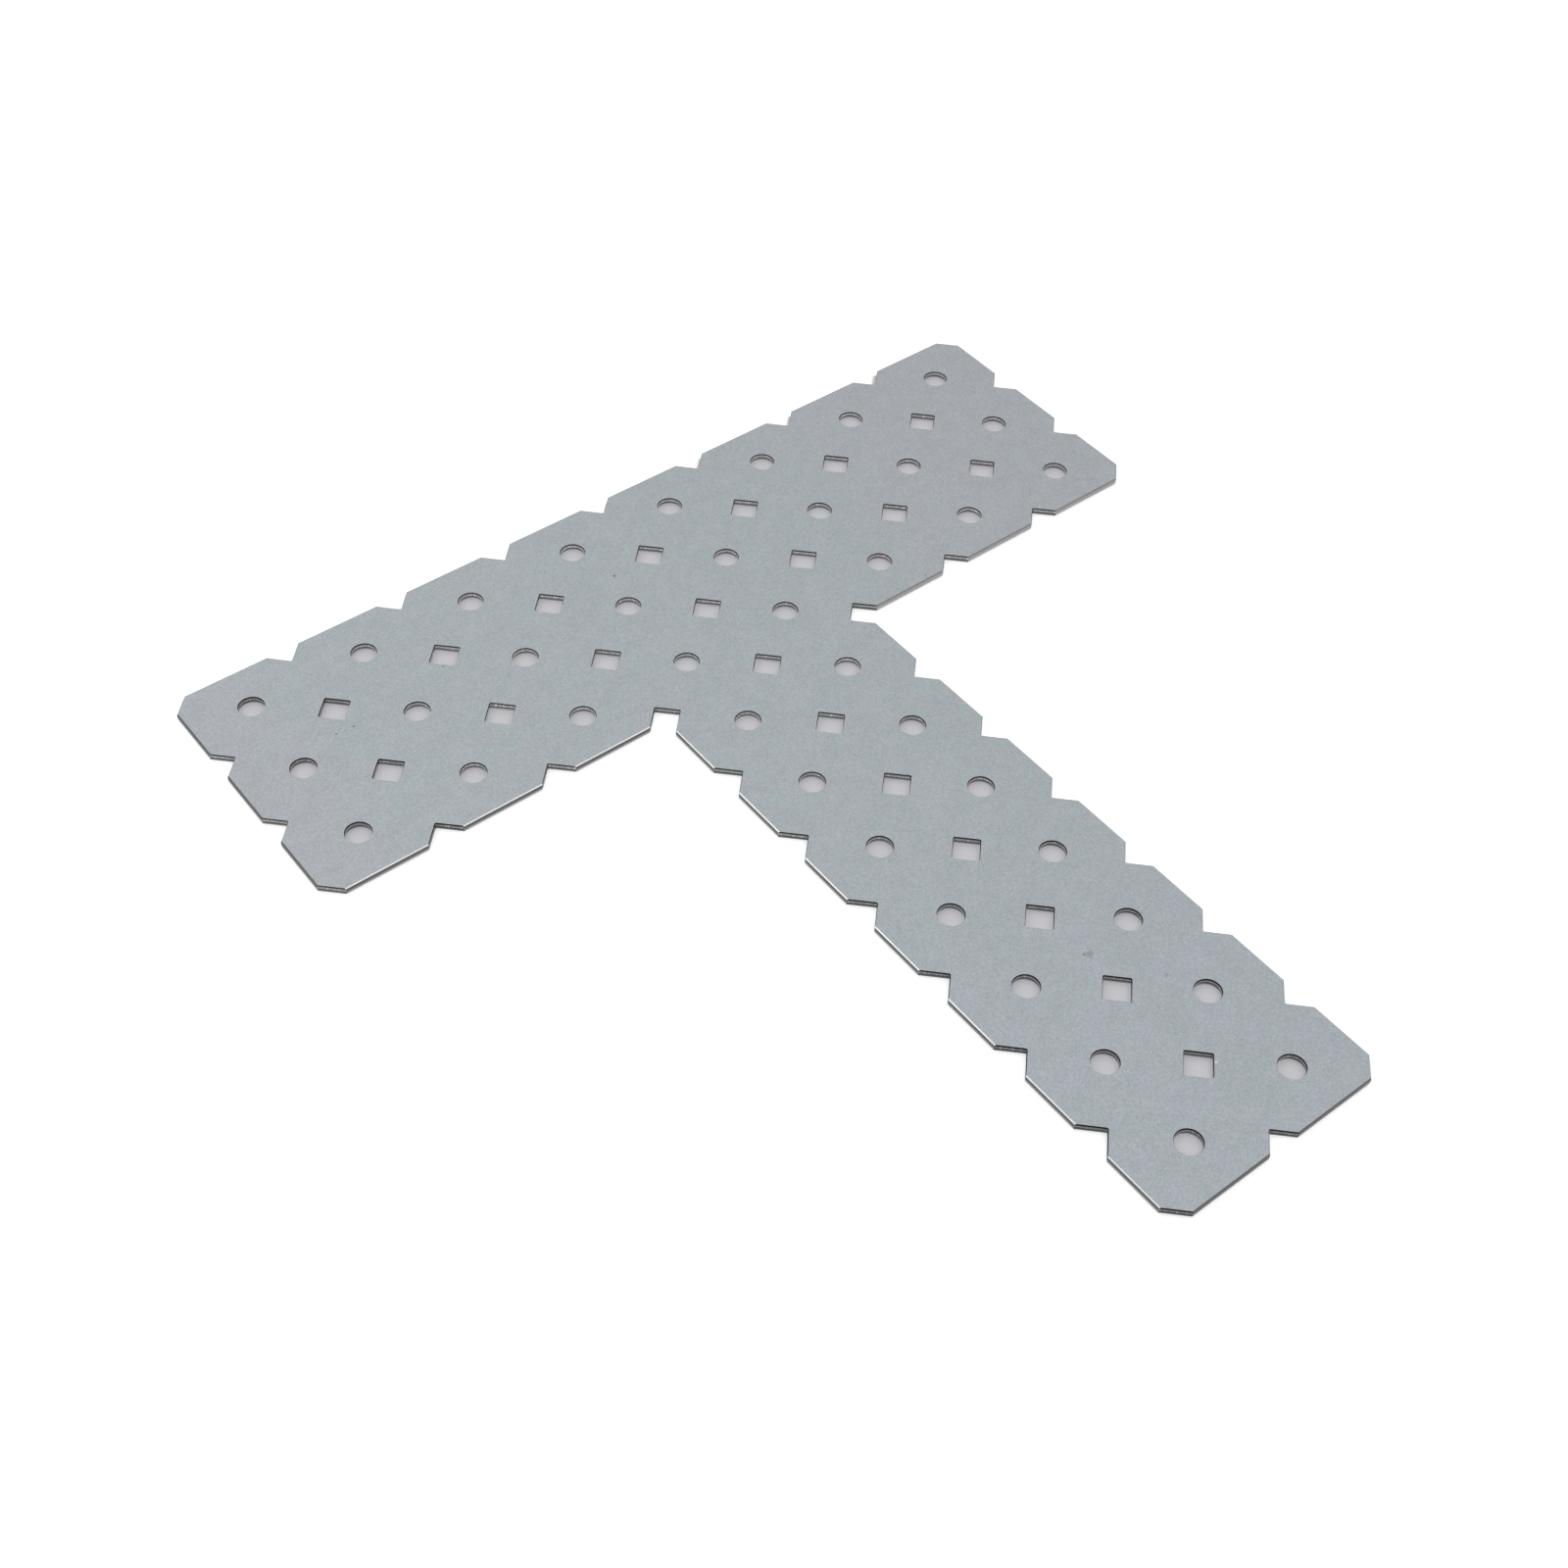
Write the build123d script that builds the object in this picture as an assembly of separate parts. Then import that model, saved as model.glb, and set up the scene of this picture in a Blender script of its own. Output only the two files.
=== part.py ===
"""T-shaped connector plate: one flat sheet of zinc-coated steel.

The sheet lies flat with its underside on Z = 0, and the origin is the centre of
its bounding box there.  The bar of the T runs along X at the +Y end, and the
stem runs from the bar towards -Y.

The plate is cut on a lattice of oblong cells.  Every cell has a round nail hole
at its centre, and the same square punch, turned by 45 degrees, goes through
every node of the lattice.  Inside the plate it leaves a square hole.  On a
straight edge it leaves a V notch, on an outer corner a bevelled corner, and on
the two inner corners a three-quarter relief.
"""
import os

from build123d import *

# Driving dimensions, in millimetres and degrees
column_pitch = 25.0
row_pitch = 20.0
bar_columns = 8
bar_rows = 3
stem_columns = 2
stem_rows = 7
sheet_thickness = 1.5
nail_hole_diameter = 5.0
square_punch_side = 5.0
square_punch_turn = 45.0
upper_rim_bevel = 0.3

# The two arms of the T, whose edges lie on lattice lines
bar_length = bar_columns * column_pitch
bar_width = bar_rows * row_pitch
stem_width = stem_columns * column_pitch
stem_length = stem_rows * row_pitch
bar_centre_y = stem_length / 2
stem_centre_y = -bar_width / 2


def blank():
    """The uncut T, a bar and a stem that meet along the bar's near edge."""
    with BuildSketch() as outline:
        with Locations((0, bar_centre_y)):
            Rectangle(bar_length, bar_width)
        with Locations((0, stem_centre_y)):
            Rectangle(stem_width, stem_length)
    return outline.sketch


def square_punches():
    """The square punch at every corner of every cell of both arms."""
    with BuildSketch() as punches:
        with Locations((0, bar_centre_y)):
            with GridLocations(column_pitch, row_pitch, bar_columns + 1, bar_rows + 1):
                Rectangle(square_punch_side, square_punch_side, rotation=square_punch_turn)
        with Locations((0, stem_centre_y)):
            with GridLocations(column_pitch, row_pitch, stem_columns + 1, stem_rows + 1):
                Rectangle(square_punch_side, square_punch_side, rotation=square_punch_turn)
    return punches.sketch


def nail_holes():
    """A round hole at the centre of every cell of both arms."""
    with BuildSketch() as holes:
        with Locations((0, bar_centre_y)):
            with GridLocations(column_pitch, row_pitch, bar_columns, bar_rows):
                Circle(nail_hole_diameter / 2)
        with Locations((0, stem_centre_y)):
            with GridLocations(column_pitch, row_pitch, stem_columns, stem_rows):
                Circle(nail_hole_diameter / 2)
    return holes.sketch


def t_plate():
    """The punched sheet, its upper rims broken where shearing and punching roll them over."""
    with BuildPart() as plate:
        with BuildSketch():
            add(blank())
            add(square_punches(), mode=Mode.SUBTRACT)
            add(nail_holes(), mode=Mode.SUBTRACT)
        extrude(amount=sheet_thickness)
        upper_face = plate.faces().sort_by(Axis.Z)[-1]
        chamfer(upper_face.edges(), upper_rim_bevel)
    return plate.part


os.makedirs("parts", exist_ok=True)
export_step(t_plate(), "parts/t_plate.step")
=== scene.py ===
"""T-shaped connector plate of zinc-coated steel, lying on a pale table.

Every size is in metres.  The outline and the lattice follow from the packed
plate's own box.  The sheet is one piece: a lattice of round nail holes and square
punches, with the upper rim rolled over, and with a burnished and a torn band down
every punched wall.
"""
import math
from collections import namedtuple

import bmesh
import bpy
from mathutils import Matrix, Vector


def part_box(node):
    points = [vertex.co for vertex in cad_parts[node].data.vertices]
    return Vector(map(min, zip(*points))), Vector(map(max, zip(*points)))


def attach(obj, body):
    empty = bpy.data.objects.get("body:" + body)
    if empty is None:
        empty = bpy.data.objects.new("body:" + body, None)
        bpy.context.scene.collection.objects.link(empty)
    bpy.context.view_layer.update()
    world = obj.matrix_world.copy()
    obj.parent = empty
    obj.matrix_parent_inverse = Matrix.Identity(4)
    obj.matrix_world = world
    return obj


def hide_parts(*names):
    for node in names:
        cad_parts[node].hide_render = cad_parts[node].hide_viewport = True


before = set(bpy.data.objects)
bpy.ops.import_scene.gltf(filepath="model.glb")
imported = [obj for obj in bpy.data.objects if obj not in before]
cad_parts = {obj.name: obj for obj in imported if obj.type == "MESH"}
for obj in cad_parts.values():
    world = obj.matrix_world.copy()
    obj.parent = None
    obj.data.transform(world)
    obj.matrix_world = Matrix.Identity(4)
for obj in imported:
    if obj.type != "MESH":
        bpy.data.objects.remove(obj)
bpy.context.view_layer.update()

MM = 0.001

# The lattice that the plate is cut on
COLUMNS = 8
BAR_ROWS = 3
STEM_ROWS = 7
STEM_FIRST_COLUMN = 3
STEM_LAST_COLUMN = 5
LOW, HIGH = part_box("t_plate")
COLUMN_PITCH = (HIGH[0] - LOW[0]) / COLUMNS
ROW_PITCH = (HIGH[1] - LOW[1]) / (BAR_ROWS + STEM_ROWS)
THICKNESS = HIGH[2] - LOW[2]

# The two punches
NAIL_HOLE_RADIUS = 2.5 * MM
SQUARE_PUNCH_SIDE = 5.0 * MM
HALF_DIAGONAL = SQUARE_PUNCH_SIDE / math.sqrt(2)
PUNCH_CORNER_RADIUS = 0.22 * MM
CORNER_STEPS = 4
CIRCLE_STEPS = 64

# The rolled upper rim: its width on punched, on sheared and on the two crisp sides, its
# depth, and its shape as shares of both, from the flat upper face to the wall
PUNCHED_ROLL = 0.14 * MM
SHEARED_ROLL = 0.27 * MM
CRISP_ROLL = 0.04 * MM
ROLL_DEPTH = 0.21 * MM
ROLL_SHAPE = [
    (1.0, 0.0), (0.96, 0.015), (0.92, 0.06), (0.50, 0.48),
    (0.08, 0.90), (0.03, 0.97), (0.0, 1.15),
]

# The torn lower edge of a cut wall
TEAR_HEIGHT = 0.50 * MM
TEAR_SLOPE = 0.05 * MM
LOWER_EDGE = 0.05 * MM

# How far three of the near sheared sides stand out past the lattice
NEAR_LEFT_OVERHANG = 0.27 * MM
STEM_LEFT_OVERHANG = 0.42 * MM
STEM_RIGHT_OVERHANG = 0.18 * MM

# A point of a wall's path: its place, the ways in for the roll and for the tear, whether
# its corner is sharp, whether the side that leaves it is sheared, and its share of the
# full roll's depth
PathPoint = namedtuple("PathPoint", "place roll inward sharp shears depth")


def shallowness(roll):
    """The share of the full roll's depth that a roll of this width goes down."""
    return min(1, roll / PUNCHED_ROLL)


def tear_profile():
    """(inset, height) from the burnished wall to the underside."""
    return [(0, TEAR_HEIGHT), (TEAR_SLOPE, LOWER_EDGE), (TEAR_SLOPE + LOWER_EDGE, 0)]


def turned_left(direction):
    """The direction a quarter turn to the left."""
    return Vector((-direction.y, direction.x))


def node_place(column, row):
    """A node of the lattice, counted from the bar's far left-hand corner."""
    return Vector((LOW[0] + column * COLUMN_PITCH, HIGH[1] - row * ROW_PITCH))


def mitred(before, before_inset, after, after_inset):
    """The way in from a sharp corner that keeps both sides at their own inset."""
    first, second = turned_left(before), turned_left(after)
    area = first.x * second.y - first.y * second.x
    return Vector((
        (before_inset * second.y - after_inset * first.y) / area,
        (after_inset * first.x - before_inset * second.x) / area,
    ))


def walked(corners):
    """The points of a closed path round the corners, with the metal on its left.

    A corner is its place, its radius and the width of the roll along the side
    that leaves it.
    """
    path = []
    for index, (place, radius, leaving_roll) in enumerate(corners):
        arriving_roll = corners[index - 1][2]
        before = (place - corners[index - 1][0]).normalized()
        after = (corners[(index + 1) % len(corners)][0] - place).normalized()
        if radius == 0:
            roll = mitred(before, arriving_roll, after, leaving_roll)
            inward = mitred(before, 1, after, 1)
            shears = leaving_roll != PUNCHED_ROLL
            depth = shallowness(min(arriving_roll, leaving_roll))
            path.append(PathPoint(place, roll, inward, True, shears, depth))
            continue
        turn = math.atan2(before.x * after.y - before.y * after.x, before.dot(after))
        side = math.copysign(1, turn)
        start = place - before * radius * math.tan(abs(turn) / 2)
        centre = start + turned_left(before) * radius * side
        for step in range(CORNER_STEPS + 1):
            ahead = Matrix.Rotation(turn * step / CORNER_STEPS, 2) @ before
            inward = turned_left(ahead)
            point = centre - inward * radius * side
            path.append(PathPoint(point, inward * leaving_roll, inward, False, False, 1))
    return path


def mouth(place, along, inward, overhang):
    """Where a square punch meets a side that stands out past the lattice."""
    return place + along * (HALF_DIAGONAL + overhang) - inward * overhang


def outline_path():
    """The T's edge with a notch, bevel or relief wherever a square punch meets it.

    A turn is its column, its row, how far the side that leaves it stands out past
    the lattice, and the width of that side's roll.
    """
    turns = [
        (0, 0, 0, SHEARED_ROLL),
        (0, BAR_ROWS, NEAR_LEFT_OVERHANG, SHEARED_ROLL),
        (STEM_FIRST_COLUMN, BAR_ROWS, STEM_LEFT_OVERHANG, SHEARED_ROLL),
        (STEM_FIRST_COLUMN, BAR_ROWS + STEM_ROWS, 0, SHEARED_ROLL),
        (STEM_LAST_COLUMN, BAR_ROWS + STEM_ROWS, STEM_RIGHT_OVERHANG, SHEARED_ROLL),
        (STEM_LAST_COLUMN, BAR_ROWS, 0, SHEARED_ROLL),
        (COLUMNS, BAR_ROWS, 0, CRISP_ROLL),
        (COLUMNS, 0, 0, CRISP_ROLL),
    ]
    corners = []
    for index, (column, row, overhang, side_roll) in enumerate(turns):
        next_column, next_row = turns[(index + 1) % len(turns)][:2]
        last_column, last_row, last_overhang = turns[index - 1][:3]
        arriving = Vector((column - last_column, last_row - row)).normalized()
        leaving = Vector((next_column - column, row - next_row)).normalized()
        place = node_place(column, row)
        last_mouth = mouth(place, -arriving, turned_left(arriving), last_overhang)
        corners.append((last_mouth, 0, PUNCHED_ROLL))
        if turned_left(arriving).dot(leaving) < 0:
            corners.append((place - leaving * HALF_DIAGONAL, PUNCH_CORNER_RADIUS, PUNCHED_ROLL))
            corners.append((place + arriving * HALF_DIAGONAL, PUNCH_CORNER_RADIUS, PUNCHED_ROLL))
        inward = turned_left(leaving)
        corners.append((mouth(place, leaving, inward, overhang), 0, side_roll))
        steps = abs(next_column - column) + abs(next_row - row)
        for step in range(1, steps):
            place = node_place(
                column + (next_column - column) * step / steps,
                row + (next_row - row) * step / steps,
            )
            corners.append((mouth(place, -leaving, inward, overhang), 0, PUNCHED_ROLL))
            corners.append((place + inward * HALF_DIAGONAL, PUNCH_CORNER_RADIUS, PUNCHED_ROLL))
            corners.append((mouth(place, leaving, inward, overhang), 0, side_roll))
    return walked(corners)


def square_path(centre):
    """A square hole turned by 45 degrees, walked clockwise."""
    corners = []
    for step in range(4):
        angle = -math.pi / 2 * step
        reach = Vector((math.cos(angle), math.sin(angle))) * HALF_DIAGONAL
        corners.append((centre + reach, PUNCH_CORNER_RADIUS, PUNCHED_ROLL))
    return walked(corners)


def circle_path(centre):
    """A round nail hole, walked clockwise."""
    path = []
    for step in range(CIRCLE_STEPS):
        angle = -2 * math.pi * step / CIRCLE_STEPS
        outward = Vector((math.cos(angle), math.sin(angle)))
        point = centre + outward * NAIL_HOLE_RADIUS
        path.append(PathPoint(point, outward * PUNCHED_ROLL, outward, False, False, 1))
    return path


def all_paths():
    """The outline, then every square hole, then every nail hole."""
    arms = [
        (0, COLUMNS, 0, BAR_ROWS),
        (STEM_FIRST_COLUMN, STEM_LAST_COLUMN, BAR_ROWS, BAR_ROWS + STEM_ROWS),
    ]
    paths = [outline_path()]
    for first_column, last_column, first_row, last_row in arms:
        for column in range(first_column + 1, last_column):
            for row in range(max(first_row, 1), last_row):
                paths.append(square_path(node_place(column, row)))
        for column in range(first_column, last_column):
            for row in range(first_row, last_row):
                paths.append(circle_path(node_place(column + 0.5, row + 0.5)))
    return paths


def wall_rings(mesh, path):
    """The rings of vertices down one wall, from the upper face to the underside."""
    rings = []
    for share, drop in ROLL_SHAPE:
        ring = []
        for point in path:
            place = point.place + point.roll * share
            height = THICKNESS - ROLL_DEPTH * drop * point.depth
            ring.append(mesh.verts.new((place.x, place.y, height)))
        rings.append(ring)
    for inset, height in tear_profile():
        places = [point.place + point.inward * inset for point in path]
        rings.append([mesh.verts.new((place.x, place.y, height)) for place in places])
    return rings


def plate_mesh():
    """The whole sheet as one closed mesh, its sheared sides marked for the material."""
    mesh = bmesh.new()
    sheared = mesh.faces.layers.float.new("sheared")
    upper_edges = []
    lower_edges = []
    for path in all_paths():
        rings = wall_rings(mesh, path)
        count = len(path)
        for upper, lower in zip(rings, rings[1:]):
            for index in range(count):
                after = (index + 1) % count
                face = mesh.faces.new((upper[index], lower[index], lower[after], upper[after]))
                face.smooth = True
                face[sheared] = path[index].shears
        for upper, lower in zip(rings, rings[1:]):
            for index in range(count):
                if path[index].sharp:
                    mesh.edges.get((upper[index], lower[index])).smooth = False
        for index in range(count):
            after = (index + 1) % count
            upper_edges.append(mesh.edges.get((rings[0][index], rings[0][after])))
            lower_edges.append(mesh.edges.get((rings[-1][index], rings[-1][after])))
    for edges in (upper_edges, lower_edges):
        bmesh.ops.triangle_fill(mesh, use_beauty=True, edges=edges)
    bmesh.ops.recalc_face_normals(mesh, faces=mesh.faces)
    data = bpy.data.meshes.new("punched_sheet")
    mesh.to_mesh(data)
    mesh.free()
    return data


# The share of a soft spot's reach that is at full strength
SPOT_CORE = 0.4


class Nodes:
    """Short ways to add nodes to one material and join them."""

    def __init__(self, tree):
        self.tree = tree

    def add(self, kind, **settings):
        node = self.tree.nodes.new(kind)
        for name, value in settings.items():
            setattr(node, name, value)
        return node

    def put(self, socket, value):
        """Joins an output to the socket, or sets the socket to a plain value."""
        if isinstance(value, bpy.types.NodeSocket):
            self.tree.links.new(value, socket)
        else:
            socket.default_value = value

    def math(self, operation, first, second=0.0, third=0.0):
        node = self.add("ShaderNodeMath", operation=operation)
        for socket, value in zip(node.inputs, (first, second, third)):
            self.put(socket, value)
        return node.outputs[0]

    def ramp(self, value, from_low, from_high, to_low=0.0, to_high=1.0):
        """A smooth step of the value from one range into another."""
        node = self.add("ShaderNodeMapRange", interpolation_type="SMOOTHSTEP")
        for socket, setting in zip(node.inputs, (value, from_low, from_high, to_low, to_high)):
            self.put(socket, setting)
        return node.outputs[0]

    def mix(self, share, first, second):
        node = self.add("ShaderNodeMix", data_type="RGBA")
        self.put(node.inputs[0], share)
        self.put(node.inputs[6], first)
        self.put(node.inputs[7], second)
        return node.outputs[2]

    def scaled(self, colour, share):
        """The colour, made lighter or darker."""
        node = self.add("ShaderNodeVectorMath", operation="SCALE")
        self.put(node.inputs[0], colour)
        self.put(node.inputs["Scale"], share)
        return node.outputs[0]

    def mix_number(self, share, first, second):
        node = self.add("ShaderNodeMix", data_type="FLOAT")
        self.put(node.inputs[0], share)
        self.put(node.inputs[2], first)
        self.put(node.inputs[3], second)
        return node.outputs[0]

    def noise(self, place, grain, detail=2.0, stretch=(1, 1, 1)):
        """Noise whose grains are about the given size in metres."""
        mapping = self.add("ShaderNodeMapping")
        self.put(mapping.inputs["Vector"], place)
        self.put(mapping.inputs["Scale"], stretch)
        node = self.add("ShaderNodeTexNoise")
        self.put(node.inputs["Vector"], mapping.outputs[0])
        self.put(node.inputs["Scale"], 1 / grain)
        self.put(node.inputs["Detail"], detail)
        return node

    def spot(self, place, centre, reach):
        """One inside a soft ellipse, given in millimetres, and nought outside it."""
        apart = self.add("ShaderNodeVectorMath", operation="SUBTRACT")
        self.put(apart.inputs[0], place)
        self.put(apart.inputs[1], (centre[0] * MM, centre[1] * MM, 0))
        scaled = self.add("ShaderNodeVectorMath", operation="MULTIPLY")
        self.put(scaled.inputs[0], apart.outputs[0])
        self.put(scaled.inputs[1], (1 / (reach[0] * MM), 1 / (reach[1] * MM), 0))
        length = self.add("ShaderNodeVectorMath", operation="LENGTH")
        self.put(length.inputs[0], scaled.outputs[0])
        return self.ramp(length.outputs["Value"], SPOT_CORE, 1.0, 1.0, 0.0)


# Small dark marks on the upper face: place and reach in millimetres, strength
MARKS = [
    ((-74.4, 73.8), (0.3, 0.3), 0.8),
    ((-78.1, 74.0), (0.3, 0.3), 0.7),
    ((-52.0, 77.5), (0.3, 0.3), 0.6),
    ((-9.6, 79.0), (0.38, 0.38), 0.85),
    ((42.5, 41.2), (0.5, 0.3), 0.5),
    ((1.3, -51.6), (1.1, 0.9), 0.3),
    ((0.5, -51.0), (0.5, 0.4), 0.45),
    ((1.9, -51.2), (0.7, 0.25), 0.3),
    ((1.0, -52.3), (0.25, 0.6), 0.3),
    ((9.0, -63.1), (0.6, 0.4), 0.25),
    ((-0.1, -43.4), (0.35, 0.25), 0.6),
    ((-0.1, -63.7), (0.35, 0.25), 0.6),
]

# A small bright spot beside the square hole nearest the stem's end
BRIGHT_SPOT = ((2.66, -81.5), (0.45, 0.3))

# Colours of the zinc and of the cut steel, some of them carrying painted light, shade and
# highlight
ZINC = (0.393, 0.444, 0.457, 1)
ZINC_LILAC = (0.415, 0.437, 0.467, 1)
ZINC_BLUE = (0.402, 0.438, 0.476, 1)
# A painted highlight: the brighter rim colour of the near-left rims, on top of the panels' own
# highlight
PAINTED_HIGHLIGHT_RIM = (0.60, 0.61, 0.61, 1)
# Painted light: the grey rim is the dull rim painted lighter for the right-hand sheared sides
DULL_RIM = (0.42, 0.42, 0.42, 1)
GREY_RIM = (0.50, 0.50, 0.50, 1)
# A painted dark line: the reflected shade along the top of every punched wall
PAINTED_DARK_LINE = (0.04, 0.04, 0.04, 1)
BURNISHED = (0.248, 0.25, 0.251, 1)
BURNISHED_BRIGHT = (0.505, 0.51, 0.513, 1)
# The torn band is dark cut steel, darkened further by painted contact shade
TORN = (0.082, 0.083, 0.083, 1)
PUNCHED_FOOT = (0.195, 0.20, 0.205, 1)
# Painted light: the grey sheared wall is the dark one painted lighter for the right-hand sheared
# sides
SHEARED_DARK = (0.10, 0.10, 0.104, 1)
SHEARED_GREY = (0.32, 0.32, 0.33, 1)
SHEARED_PALE = (0.54, 0.54, 0.555, 1)
DIRT = (0.12, 0.11, 0.11, 1)
BRIGHT_SPOT_COLOUR = (0.66, 0.66, 0.66, 1)

# The zinc's grain, patches and clouds: their sizes, the range their noise mostly stays
# in, how much grain and clouds darken and lighten, and how much painted shade darkens
# the metal for each metre to the right
GRAIN_SIZE = 0.33 * MM
PATCH_SIZE = 3.0 * MM
CLOUD_SIZE = 4.0 * MM
CLOUD_STRETCH = (1, 1.4, 1)
NOISE_RANGE = (0.25, 0.75)
GRAIN_SHADES = (0.90, 1.10)
CLOUD_SHADES = (0.98, 1.02)
PAINTED_SHADE_TO_THE_RIGHT = 0.52

# A change along the plate is the two places that it runs between and its two ends.
# The bar's ends are more lilac and the stem's end is bluer.
LEFT_END_LILAC = (-92 * MM, -78 * MM, 0.25, 0.0)
RIGHT_END_LILAC = (35 * MM, 60 * MM, 0.0, 0.20)
STEM_END_BLUE = (-60 * MM, -10 * MM, 0.4, 0.0)

# Painted light: the punched walls are painted paler, and their dark line weaker, beyond
# the stem's end, to the right of the bar's left end and in that end's own notches
PALER_BEYOND = (-70 * MM, 50 * MM, 0.0, 1.0)
PALER_TO_THE_RIGHT = (-85 * MM, -50 * MM, 0.2, 1.0)
PALER_END_NOTCHES = (-95 * MM, -92 * MM, 1.0, 0.0)
PAINTED_WALL_SHADES = (0.74, 1.36)
DARK_LINE_STRENGTHS = (1.0, 0.68)

# The streaks down a punched wall
STREAK_SIZE = 0.35 * MM
STREAK_STRETCH = (1, 1, 0.35)
STREAK_RANGE = (0.50, 0.72)

# Heights of the bands down a punched wall, and how soft their limits are
DARK_LINE_FOOT = THICKNESS - 0.33 * MM
DARK_LINE_BLUR = 0.05 * MM
TORN_TOP = 0.76 * MM
TORN_FOOT = 0.22 * MM
BAND_BLUR = 0.2 * MM

# Heights that a sheared wall pales between, and where along X painted light turns its wall and
# rim greyer
PALE_FROM = 1.10 * MM
PALE_TO = -0.25 * MM
PAINTED_LIGHT_ALONG_X = (15 * MM, 30 * MM)

# The near-left rims carry a painted highlight: those left of the first line and below the
# second.  It is duller at the stem's end and along the bar's near side.
PAINTED_HIGHLIGHT_RIM_RIGHT = -21.5 * MM
PAINTED_HIGHLIGHT_RIM_FAR = 43.5 * MM
HIGHLIGHT_ALONG_STEM = (LOW[1], -20 * MM, 0.80, 1.0)
HIGHLIGHT_ALONG_BAR = (30 * MM, 38 * MM, 1.0, 0.90)

# Ranges of the normal's upright part, in which wall turns to rim and rim to face
WALL_SLOPES = (0.10, 0.35)
RIM_SLOPES = (0.35, 0.60)
FACE_SLOPES = (0.93, 0.99)
WALL_ROUGHNESS = 0.45
RIM_ROUGHNESS = 0.18
FACE_ROUGHNESS = 0.42


def face_colour(nodes, place, parts):
    """Pale blue-grey zinc with a fine grain, faint patches and a few marks, under painted shade
    that darkens it toward the right.
    """
    grain = nodes.noise(place, GRAIN_SIZE, detail=1.0)
    patches = nodes.noise(place, PATCH_SIZE, detail=2.0)
    clouds = nodes.noise(place, CLOUD_SIZE, detail=1.0, stretch=CLOUD_STRETCH)
    left_end = nodes.ramp(parts.outputs["X"], *LEFT_END_LILAC)
    right_end = nodes.ramp(parts.outputs["X"], *RIGHT_END_LILAC)
    ends = nodes.math("ADD", left_end, right_end)
    tint = nodes.math("ADD", patches.outputs[0], ends)
    mottled = nodes.mix(nodes.ramp(tint, *NOISE_RANGE), ZINC, ZINC_LILAC)
    zinc = nodes.mix(nodes.ramp(parts.outputs["Y"], *STEM_END_BLUE), mottled, ZINC_BLUE)
    speckle = nodes.ramp(grain.outputs[0], *NOISE_RANGE, *GRAIN_SHADES)
    # Painted shade: the zinc's colour darkens toward the bar's right-hand end
    painted_shade_across = nodes.math("MULTIPLY_ADD", parts.outputs["X"], -PAINTED_SHADE_TO_THE_RIGHT, 1.0)
    cloudy = nodes.ramp(clouds.outputs[0], *NOISE_RANGE, *CLOUD_SHADES)
    shade = nodes.math("MULTIPLY", nodes.math("MULTIPLY", speckle, cloudy), painted_shade_across)
    dirt = 0.0
    for centre, reach, strength in MARKS:
        mark = nodes.math("MULTIPLY", nodes.spot(place, centre, reach), strength)
        dirt = nodes.math("MAXIMUM", dirt, mark)
    marked = nodes.mix(dirt, nodes.scaled(zinc, shade), DIRT)
    return nodes.mix(nodes.spot(place, *BRIGHT_SPOT), marked, BRIGHT_SPOT_COLOUR)


def punched_colour(nodes, place, parts):
    """A painted dark line of reflected shade, a streaked burnished band, a dark torn band
    that holds painted contact shade too, and a pale foot.

    Away from the stem's end and the bar's left end, painted light makes the walls paler
    and the line weaker.
    """
    height = parts.outputs["Z"]
    # Painted light: where the walls are painted paler and their dark line weaker
    beyond = nodes.ramp(parts.outputs["Y"], *PALER_BEYOND)
    right = nodes.ramp(parts.outputs["X"], *PALER_TO_THE_RIGHT)
    end_notches = nodes.ramp(parts.outputs["X"], *PALER_END_NOTCHES)
    paler = nodes.math("MULTIPLY", beyond, nodes.math("MAXIMUM", right, end_notches))
    streaks = nodes.noise(place, STREAK_SIZE, detail=2.0, stretch=STREAK_STRETCH)
    bright = nodes.ramp(streaks.outputs[0], *STREAK_RANGE)
    burnished = nodes.mix(bright, BURNISHED, BURNISHED_BRIGHT)
    ragged = nodes.math("MULTIPLY_ADD", streaks.outputs[0], BAND_BLUR, height)
    torn = nodes.ramp(ragged, TORN_TOP, TORN_TOP + BAND_BLUR, 1.0, 0.0)
    foot = nodes.ramp(ragged, TORN_FOOT, TORN_FOOT + BAND_BLUR, 1.0, 0.0)
    banded = nodes.mix(foot, nodes.mix(torn, burnished, TORN), PUNCHED_FOOT)
    wall = nodes.scaled(banded, nodes.mix_number(paler, *PAINTED_WALL_SHADES))
    strongest = nodes.mix_number(paler, *DARK_LINE_STRENGTHS)
    line_low = DARK_LINE_FOOT - DARK_LINE_BLUR
    line_high = DARK_LINE_FOOT + DARK_LINE_BLUR
    # Painted shade: the dark line at the top of the wall
    line = nodes.ramp(height, line_low, line_high, 0.0, strongest)
    return nodes.mix(line, wall, PAINTED_DARK_LINE)


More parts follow.
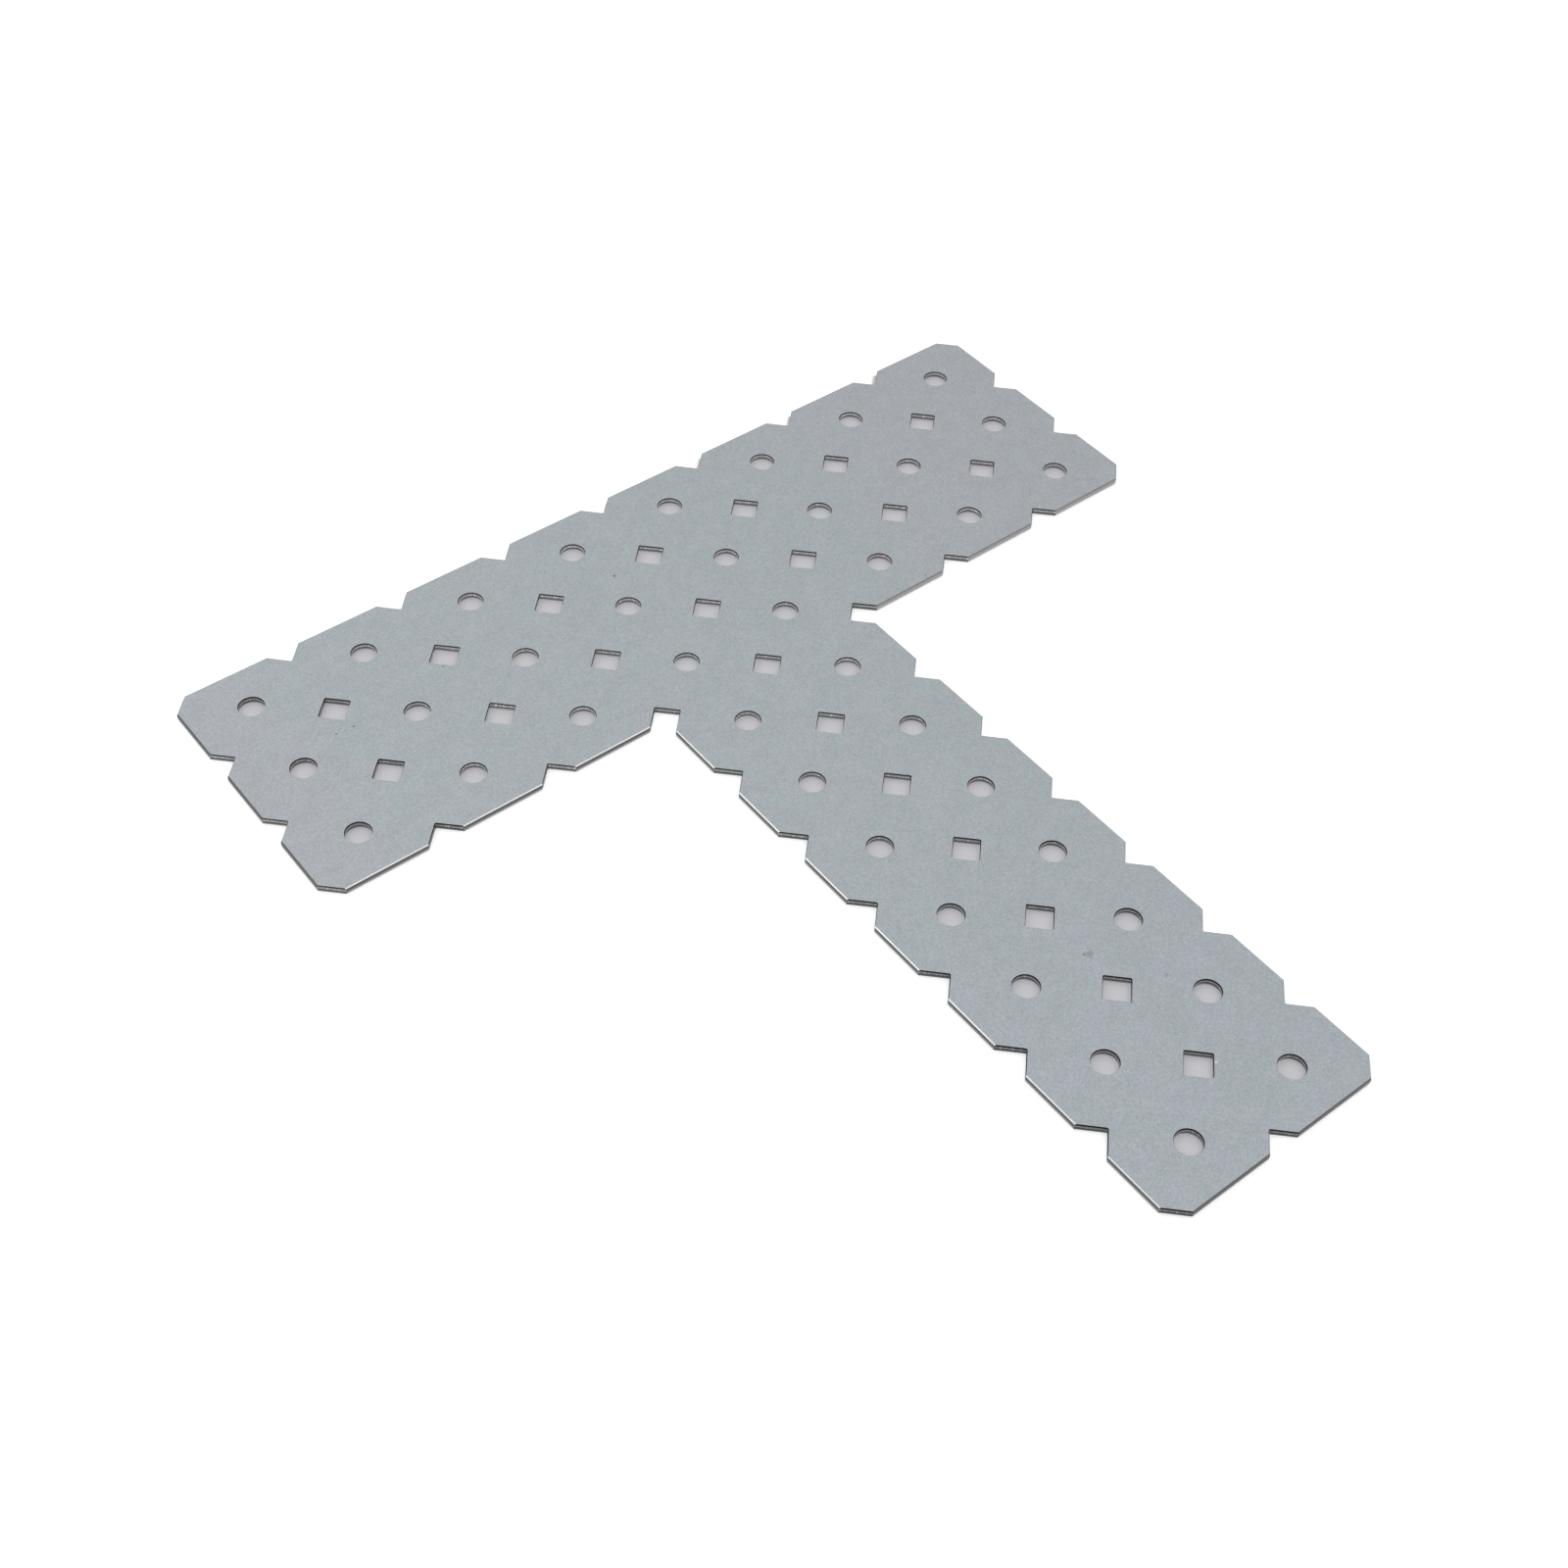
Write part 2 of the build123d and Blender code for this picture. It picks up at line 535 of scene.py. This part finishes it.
def sheared_colour(nodes, parts, level):
    """The rolled rim, with a painted highlight on the near-left rims, then a dark line that
    pales toward the table.
    """
    # Painted light: the sheared walls and dull rims are painted lighter toward the right
    greyer = nodes.ramp(parts.outputs["X"], *PAINTED_LIGHT_ALONG_X)
    dark = nodes.mix(greyer, SHEARED_DARK, SHEARED_GREY)
    pale = nodes.ramp(parts.outputs["Z"], PALE_TO, PALE_FROM, 1.0, 0.0)
    wall = nodes.mix(pale, dark, SHEARED_PALE)
    # Painted highlight: the near-left rims take the brighter colour, fading along the stem and
    # the bar
    left = nodes.math("LESS_THAN", parts.outputs["X"], PAINTED_HIGHLIGHT_RIM_RIGHT)
    near = nodes.math("LESS_THAN", parts.outputs["Y"], PAINTED_HIGHLIGHT_RIM_FAR)
    dull = nodes.mix(greyer, DULL_RIM, GREY_RIM)
    along_stem = nodes.ramp(parts.outputs["Y"], *HIGHLIGHT_ALONG_STEM)
    along_bar = nodes.ramp(parts.outputs["Y"], *HIGHLIGHT_ALONG_BAR)
    bright = nodes.scaled(PAINTED_HIGHLIGHT_RIM[:3], nodes.math("MULTIPLY", along_stem, along_bar))
    rim = nodes.mix(nodes.math("MULTIPLY", left, near), dull, bright)
    return nodes.mix(nodes.ramp(level, *RIM_SLOPES), wall, rim)


def zinc_material():
    """Satin zinc on the faces, with rims and walls told apart by slope and height."""
    material = bpy.data.materials.new("zinc_steel")
    material.use_nodes = True
    nodes = Nodes(material.node_tree)
    shader = material.node_tree.nodes["Principled BSDF"]
    place = nodes.add("ShaderNodeTexCoord").outputs["Object"]
    parts = nodes.add("ShaderNodeSeparateXYZ")
    nodes.put(parts.inputs[0], place)
    upright = nodes.add("ShaderNodeSeparateXYZ")
    nodes.put(upright.inputs[0], nodes.add("ShaderNodeNewGeometry").outputs["Normal"])
    level = nodes.math("ABSOLUTE", upright.outputs["Z"])
    sheared = nodes.add("ShaderNodeAttribute", attribute_name="sheared").outputs["Fac"]
    punched_edge = punched_colour(nodes, place, parts)
    edge = nodes.mix(sheared, punched_edge, sheared_colour(nodes, parts, level))
    flat = nodes.ramp(level, *FACE_SLOPES)
    colour = nodes.mix(flat, edge, face_colour(nodes, place, parts))
    nodes.put(shader.inputs["Base Color"], colour)
    shader.inputs["Metallic"].default_value = 1.0
    rolled = nodes.ramp(level, *WALL_SLOPES)
    edge_roughness = nodes.mix_number(rolled, WALL_ROUGHNESS, RIM_ROUGHNESS)
    roughness = nodes.mix_number(flat, edge_roughness, FACE_ROUGHNESS)
    nodes.put(shader.inputs["Roughness"], roughness)
    return material


def floor_material(name, colour, glow_colour, glow, glow_in_metal, shadows=()):
    """A pale table top with a glow that only the camera and the metal see.

    The glow has one strength for the camera and another for the metal.  A shadow
    is the middle and the reach of a soft spot, in millimetres, where the camera
    sees less of the glow, and its strength.
    """
    material = bpy.data.materials.new(name)
    material.use_nodes = True
    tree = material.node_tree
    tree.nodes.clear()
    nodes = Nodes(tree)
    output = nodes.add("ShaderNodeOutputMaterial")
    diffuse = nodes.add("ShaderNodeBsdfDiffuse")
    diffuse.inputs["Color"].default_value = colour
    light = nodes.add("ShaderNodeEmission")
    light.inputs["Color"].default_value = glow_colour
    ray = nodes.add("ShaderNodeLightPath")
    through = ray.outputs["Is Transmission Ray"]
    looked = nodes.math("MAXIMUM", ray.outputs["Is Camera Ray"], through)
    seen = nodes.math("MULTIPLY", looked, glow)
    place = nodes.add("ShaderNodeTexCoord").outputs["Object"]
    for centre, reach, strength in shadows:
        shade = nodes.math("MULTIPLY_ADD", nodes.spot(place, centre, reach), -strength, 1.0)
        seen = nodes.math("MULTIPLY", seen, shade)
    mirrored = nodes.math("MULTIPLY_ADD", ray.outputs["Is Glossy Ray"], glow_in_metal, seen)
    nodes.put(light.inputs["Strength"], mirrored)
    both = nodes.add("ShaderNodeAddShader")
    nodes.put(both.inputs[0], diffuse.outputs[0])
    nodes.put(both.inputs[1], light.outputs[0])
    nodes.put(output.inputs["Surface"], both.outputs[0])
    return material


def flat_stage(name, corners, height, material):
    """A flat piece of the set, which isn't part of the plate."""
    data = bpy.data.meshes.new(name)
    data.from_pydata([(x, y, height) for x, y in corners], [], [range(len(corners))])
    piece = bpy.data.objects.new(name, data)
    bpy.context.collection.objects.link(piece)
    data.materials.append(material)


def add_plate():
    """The plate itself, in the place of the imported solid."""
    plate = bpy.data.objects.new("punched_sheet", plate_mesh())
    bpy.context.collection.objects.link(plate)
    plate.data.materials.append(zinc_material())
    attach(plate, "root")
    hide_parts("t_plate")


# The table: half its width, its depth below the plate, and how far inside the lattice the
# greyer piece ends that is seen through the holes
FLOOR_REACH = 4.0
FLOOR_DROP = 0.02 * MM
UNDER_INSET = 1.1 * HALF_DIAGONAL

# Its two materials: colour, colour of the glow, glow for the camera, glow in the metal
WHITE_TABLE = ((0.9, 0.9, 0.9, 1), (1, 1, 1, 1), 0.52, 0.45)
TABLE_UNDER_PLATE = ((0.42, 0.414, 0.434, 1), (0.966, 0.956, 1, 1), 0.27, 0.85)

# Soft shadows in the far notches: the notch's column, the reach in millimetres, strength
NOTCH_SHADOWS = [(4, 0.8, 0.9), (5, 1.05, 1.0), (6, 1.05, 1.0), (7, 1.3, 1.0)]
SHADOW_STEPS = 5


def notch_shadows():
    """Soft spots in a row down the side of each far notch that faces left."""
    shadows = []
    for column, reach, strength in NOTCH_SHADOWS:
        for step in range(SHADOW_STEPS):
            share = (step + 0.5) / SHADOW_STEPS
            place = node_place(column, 0) + Vector((share, share - 1)) * HALF_DIAGONAL
            shadows.append(((place.x / MM, place.y / MM), (reach, reach), strength))
    return shadows


def add_floor():
    """A white table, a little greyer where it is seen through the plate's holes."""
    white = floor_material("white_table", *WHITE_TABLE, notch_shadows())
    square = [(-FLOOR_REACH, -FLOOR_REACH), (FLOOR_REACH, -FLOOR_REACH),
              (FLOOR_REACH, FLOOR_REACH), (-FLOOR_REACH, FLOOR_REACH)]
    flat_stage("table", square, -FLOOR_DROP, white)
    under = floor_material("table_under_plate", *TABLE_UNDER_PLATE)
    inset = Vector((UNDER_INSET, UNDER_INSET))
    bar_low = node_place(0, BAR_ROWS) + inset
    bar_high = node_place(COLUMNS, 0) - inset
    stem_low = node_place(STEM_FIRST_COLUMN, BAR_ROWS + STEM_ROWS) + inset
    stem_high = node_place(STEM_LAST_COLUMN, BAR_ROWS) - inset
    shape = [
        (bar_low.x, bar_high.y), (bar_low.x, bar_low.y),
        (stem_low.x, bar_low.y), (stem_low.x, stem_low.y),
        (stem_high.x, stem_low.y), (stem_high.x, bar_low.y),
        (bar_high.x, bar_low.y), (bar_high.x, bar_high.y),
    ]
    flat_stage("table_under_plate", shape, -FLOOR_DROP / 2, under)


# The photograph's view, fitted to the nail holes
CAMERA_PLACE = Vector((-0.19456, -0.19723, 0.30637))
CAMERA_AIM = Vector((-0.01716, 0.01277, 0.0015))
CAMERA_ROLL = math.radians(2.708)
CAMERA_LENS = 49.84
SENSOR_WIDTH = 36.0
CLIP_START = 0.01


def add_camera():
    """The camera, aimed and then rolled about its own axis."""
    data = bpy.data.cameras.new("camera")
    data.sensor_fit = "HORIZONTAL"
    data.sensor_width = SENSOR_WIDTH
    data.lens = CAMERA_LENS
    data.clip_start = CLIP_START
    camera = bpy.data.objects.new("camera", data)
    bpy.context.collection.objects.link(camera)
    aimed = (CAMERA_AIM - CAMERA_PLACE).to_track_quat("-Z", "Y").to_matrix()
    camera.location = CAMERA_PLACE
    camera.rotation_euler = (aimed @ Matrix.Rotation(CAMERA_ROLL, 3, "Z")).to_euler()
    bpy.context.scene.camera = camera


# Two long panels that draw the bright lines along the near sheared edges, helped there by
# the painted highlight in the rims' colour:
# name, place, the point each faces, length, height, power
PANELS = [
    ("panel_right", (0.081, -0.212, 0.343), (0.081, 0.040, 0.0), 0.24, 0.09, 0.10),
    ("panel_left", (-0.311, 0.150, 0.287), (-0.025, 0.150, 0.0), 0.36, 0.09, 0.175),
]


def add_panels():
    """The panels as area lights."""
    for name, place, faced, length, height, power in PANELS:
        light = bpy.data.lights.new(name, "AREA")
        light.shape = "RECTANGLE"
        light.size = length
        light.size_y = height
        light.energy = power
        panel = bpy.data.objects.new(name, light)
        bpy.context.collection.objects.link(panel)
        panel.location = place
        aim = Vector(faced) - Vector(place)
        panel.rotation_euler = aim.to_track_quat("-Z", "Y").to_euler()


# The room: a broad bright patch above and beyond the plate, dim on the camera's side.
# Its middle's direction, the strengths far from it and in it, and the nearness to the
# middle that each begins at
SKY_MIDDLE = (0.35, 0.42, 0.84)
SKY_STRENGTHS = (0.30, 1.0)
SKY_NEARNESS = (0.40, 0.78)


def add_world():
    """The room's light."""
    world = bpy.data.worlds.new("studio")
    bpy.context.scene.world = world
    world.use_nodes = True
    nodes = Nodes(world.node_tree)
    background = world.node_tree.nodes["Background"]
    nearness = nodes.add("ShaderNodeVectorMath", operation="DOT_PRODUCT")
    nodes.put(nearness.inputs[0], nodes.add("ShaderNodeTexCoord").outputs["Generated"])
    nodes.put(nearness.inputs[1], SKY_MIDDLE)
    strength = nodes.ramp(nearness.outputs["Value"], *SKY_NEARNESS, *SKY_STRENGTHS)
    background.inputs["Color"].default_value = (1, 1, 1, 1)
    nodes.put(background.inputs["Strength"], strength)


add_plate()
add_floor()
add_camera()
add_panels()
add_world()
bpy.context.scene.view_settings.view_transform = "Standard"
